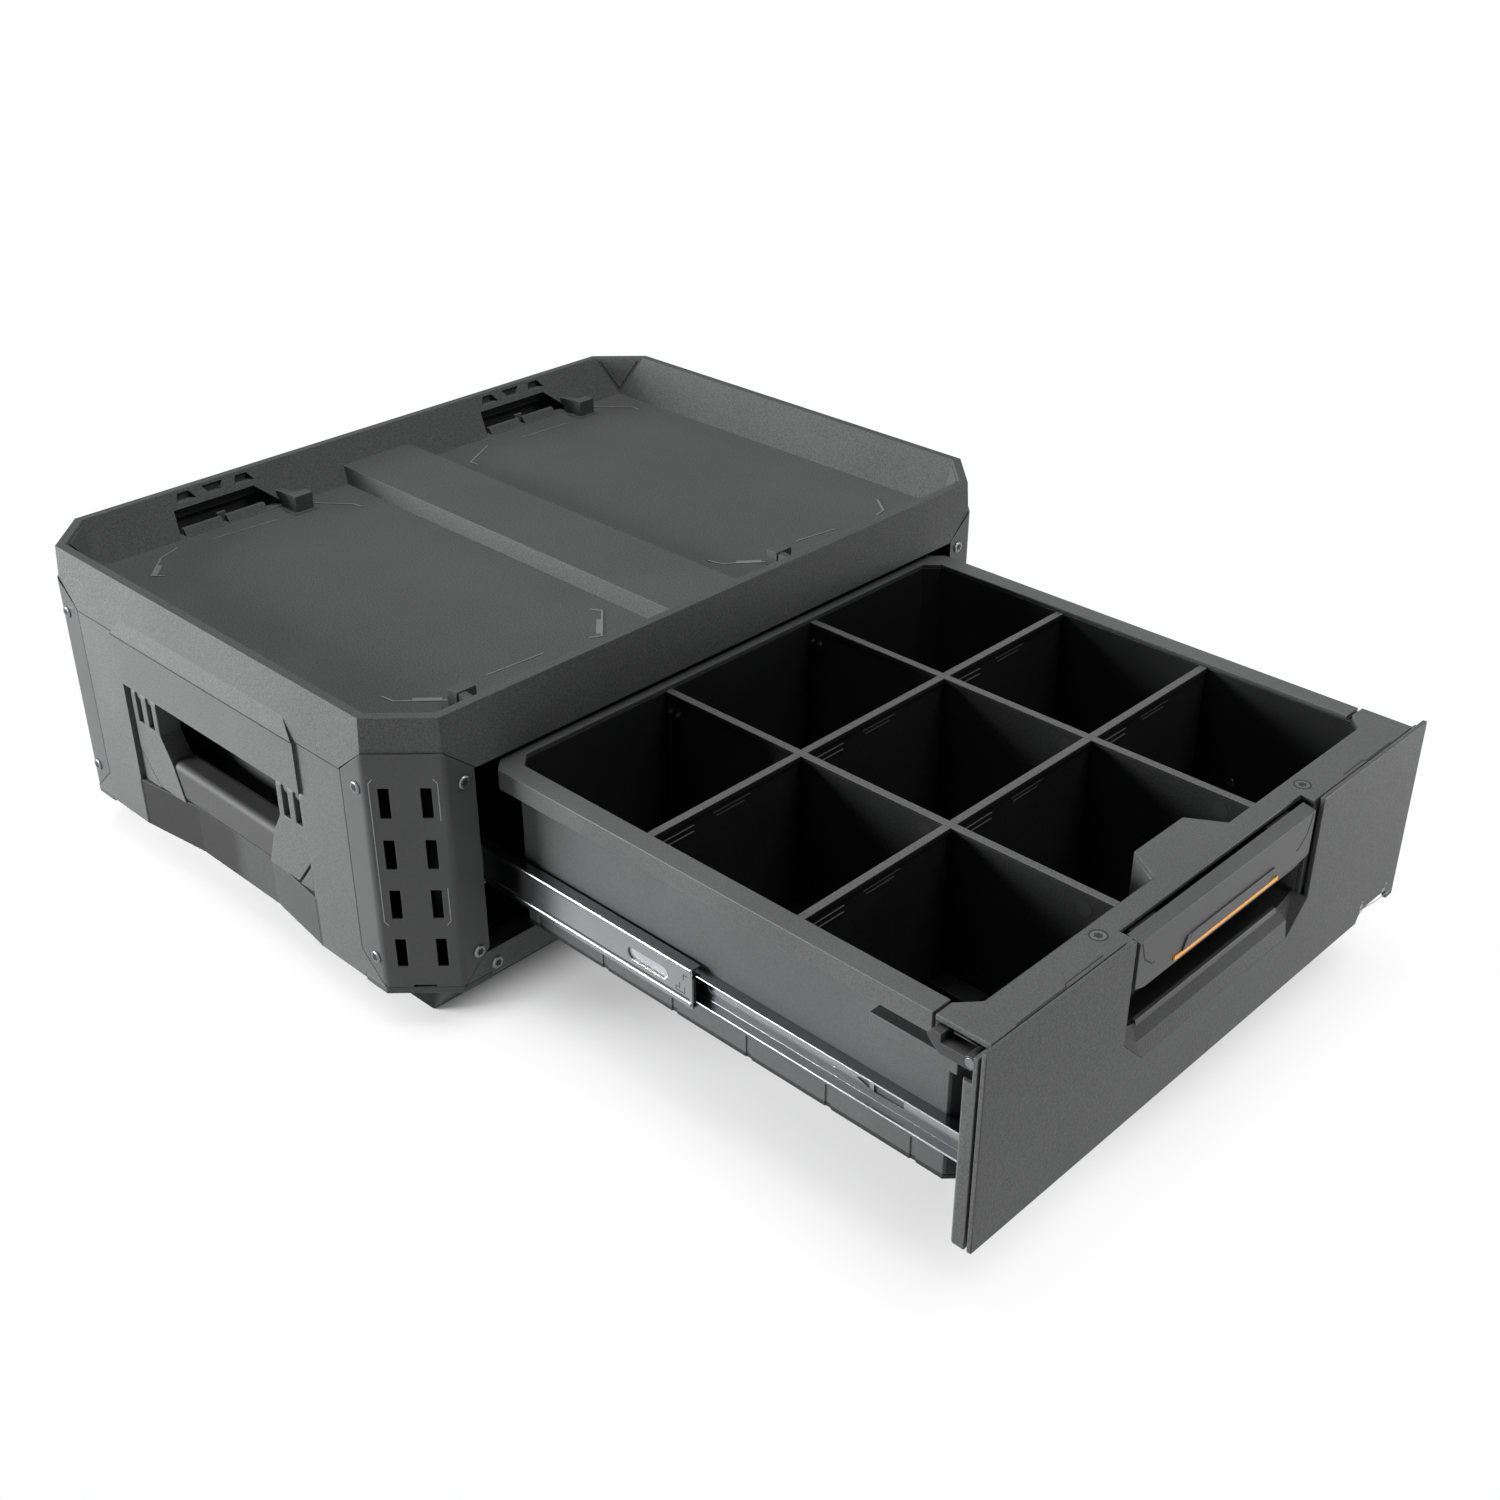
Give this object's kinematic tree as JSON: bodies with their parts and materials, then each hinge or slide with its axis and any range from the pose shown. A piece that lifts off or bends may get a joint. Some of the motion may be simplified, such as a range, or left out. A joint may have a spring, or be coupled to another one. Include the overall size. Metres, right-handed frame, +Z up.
{
  "type": "stackable tool drawer box",
  "caption": "Stackable job-site tool box with one wide full-extension drawer split into compartments, side carrying handles, slotted metal corner plates and a stacking tray on top.",
  "frame": {"origin": "on the floor under the middle of the cabinet, in the plane the foot stands on", "axes": "+X to the right of a person facing the drawer front, +Y from the drawer front to the back, +Z up"},
  "size_m": [0.555, 0.7819, 0.22],
  "materials": {
    "shell_plastic": "fine moulded texture",
    "foot_plastic": "fine moulded texture",
    "post_plastic": "satin",
    "corner_metal": "satin powder coat",
    "fastener_steel": "machined",
    "zinc_steel": "bright zinc",
    "ball_steel": "polished",
    "cage_steel": "pressed strip",
    "stop_plastic": "moulded",
    "latch_steel": "bright zinc",
    "tub_plastic": "satin moulded",
    "front_plastic": "fine moulded texture",
    "accent": "gloss",
    "handle_plastic": "fine moulded texture",
    "grip_rubber": "soft overmould"
  },
  "bodies": {
    "cabinet": {"top_cover": "shell_plastic", "base_pan": "foot_plastic", "back_panel": "shell_plastic", "front_rail": "shell_plastic", "cabinet_screws": "fastener_steel", "slide_wall_rivets": "fastener_steel", "handle_hinge_pins": "fastener_steel", "latch_strikes": "latch_steel", "front_left_post": "post_plastic", "front_right_post": "post_plastic", "rear_left_post": "post_plastic", "rear_right_post": "post_plastic", "front_left_plate": "corner_metal", "front_right_plate": "corner_metal", "rear_left_plate": "corner_metal", "rear_right_plate": "corner_metal", "left_side_panel": "shell_plastic", "right_side_panel": "shell_plastic", "left_slide_wall": "post_plastic", "right_slide_wall": "post_plastic", "left_slide_outer": "zinc_steel", "right_slide_outer": "zinc_steel"},
    "drawer": {"drawer_tub": "tub_plastic", "drawer_floor": "tub_plastic", "drawer_rim": "tub_plastic", "drawer_front_frame": "front_plastic", "pull_bucket": "front_plastic", "drawer_front_skin": "front_plastic", "drawer_front_cap": "front_plastic", "cap_screws": "fastener_steel", "slide_tub_rivets": "fastener_steel", "left_long_divider": "tub_plastic", "right_long_divider": "tub_plastic", "left_slide_inner": "zinc_steel", "right_slide_inner": "zinc_steel", "cross_divider_rear_left": "tub_plastic", "cross_divider_rear_middle": "tub_plastic", "cross_divider_rear_right": "tub_plastic", "cross_divider_front_left": "tub_plastic", "cross_divider_front_middle": "tub_plastic", "cross_divider_front_right": "tub_plastic"},
    "left_middle_rail": {"left_slide_middle": "zinc_steel", "left_slide_stop": "stop_plastic"},
    "right_middle_rail": {"right_slide_middle": "zinc_steel", "right_slide_stop": "stop_plastic"},
    "outer_cages": {"outer_ball_cages": "cage_steel", "outer_balls": "ball_steel"},
    "inner_cages": {"inner_ball_cages": "cage_steel", "inner_balls": "ball_steel"},
    "left_handle": {"left_handle_frame": "handle_plastic", "left_handle_grip": "grip_rubber"},
    "right_handle": {"right_handle_frame": "handle_plastic", "right_handle_grip": "grip_rubber"},
    "latch": {"latch_paddle": "front_plastic", "paddle_accent_strip": "accent", "latch_shaft": "latch_steel", "left_latch_hook": "front_plastic", "right_latch_hook": "front_plastic"}
  },
  "joints": [
    {"name": "drawer_slide", "type": "slide", "parent": "cabinet", "child": "drawer", "axis": [0, 1, 0], "range_m": [0, 0.3705]},
    {"name": "left_rail_slide", "type": "slide", "parent": "cabinet", "child": "left_middle_rail", "axis": [0, 1, 0], "range_m": [0, 0.18525]},
    {"name": "right_rail_slide", "type": "slide", "parent": "cabinet", "child": "right_middle_rail", "axis": [0, 1, 0], "range_m": [0, 0.18525]},
    {"name": "outer_cage_slide", "type": "slide", "parent": "cabinet", "child": "outer_cages", "axis": [0, 1, 0], "range_m": [0, 0.09262]},
    {"name": "inner_cage_slide", "type": "slide", "parent": "cabinet", "child": "inner_cages", "axis": [0, 1, 0], "range_m": [0, 0.27787]},
    {"name": "left_handle_hinge", "type": "hinge", "parent": "cabinet", "child": "left_handle", "pos_m": [-0.264, 0, 0.134], "axis": [0, 1, 0], "range_deg": [0, 90]},
    {"name": "right_handle_hinge", "type": "hinge", "parent": "cabinet", "child": "right_handle", "pos_m": [0.264, 0, 0.134], "axis": [0, -1, 0], "range_deg": [0, 90]},
    {"name": "latch_pull", "type": "hinge", "parent": "drawer", "child": "latch", "pos_m": [0, -0.5635, 0.164], "axis": [-1, 0, 0], "range_deg": [0, 15], "stiffness_Nm_per_rad": 0.6, "springref_deg": -8.59}
  ],
  "couplings": [
    {"joint": "left_rail_slide", "follows": "drawer_slide", "ratio": 0.5},
    {"joint": "right_rail_slide", "follows": "drawer_slide", "ratio": 0.5},
    {"joint": "outer_cage_slide", "follows": "drawer_slide", "ratio": 0.25},
    {"joint": "inner_cage_slide", "follows": "drawer_slide", "ratio": 0.75}
  ]
}
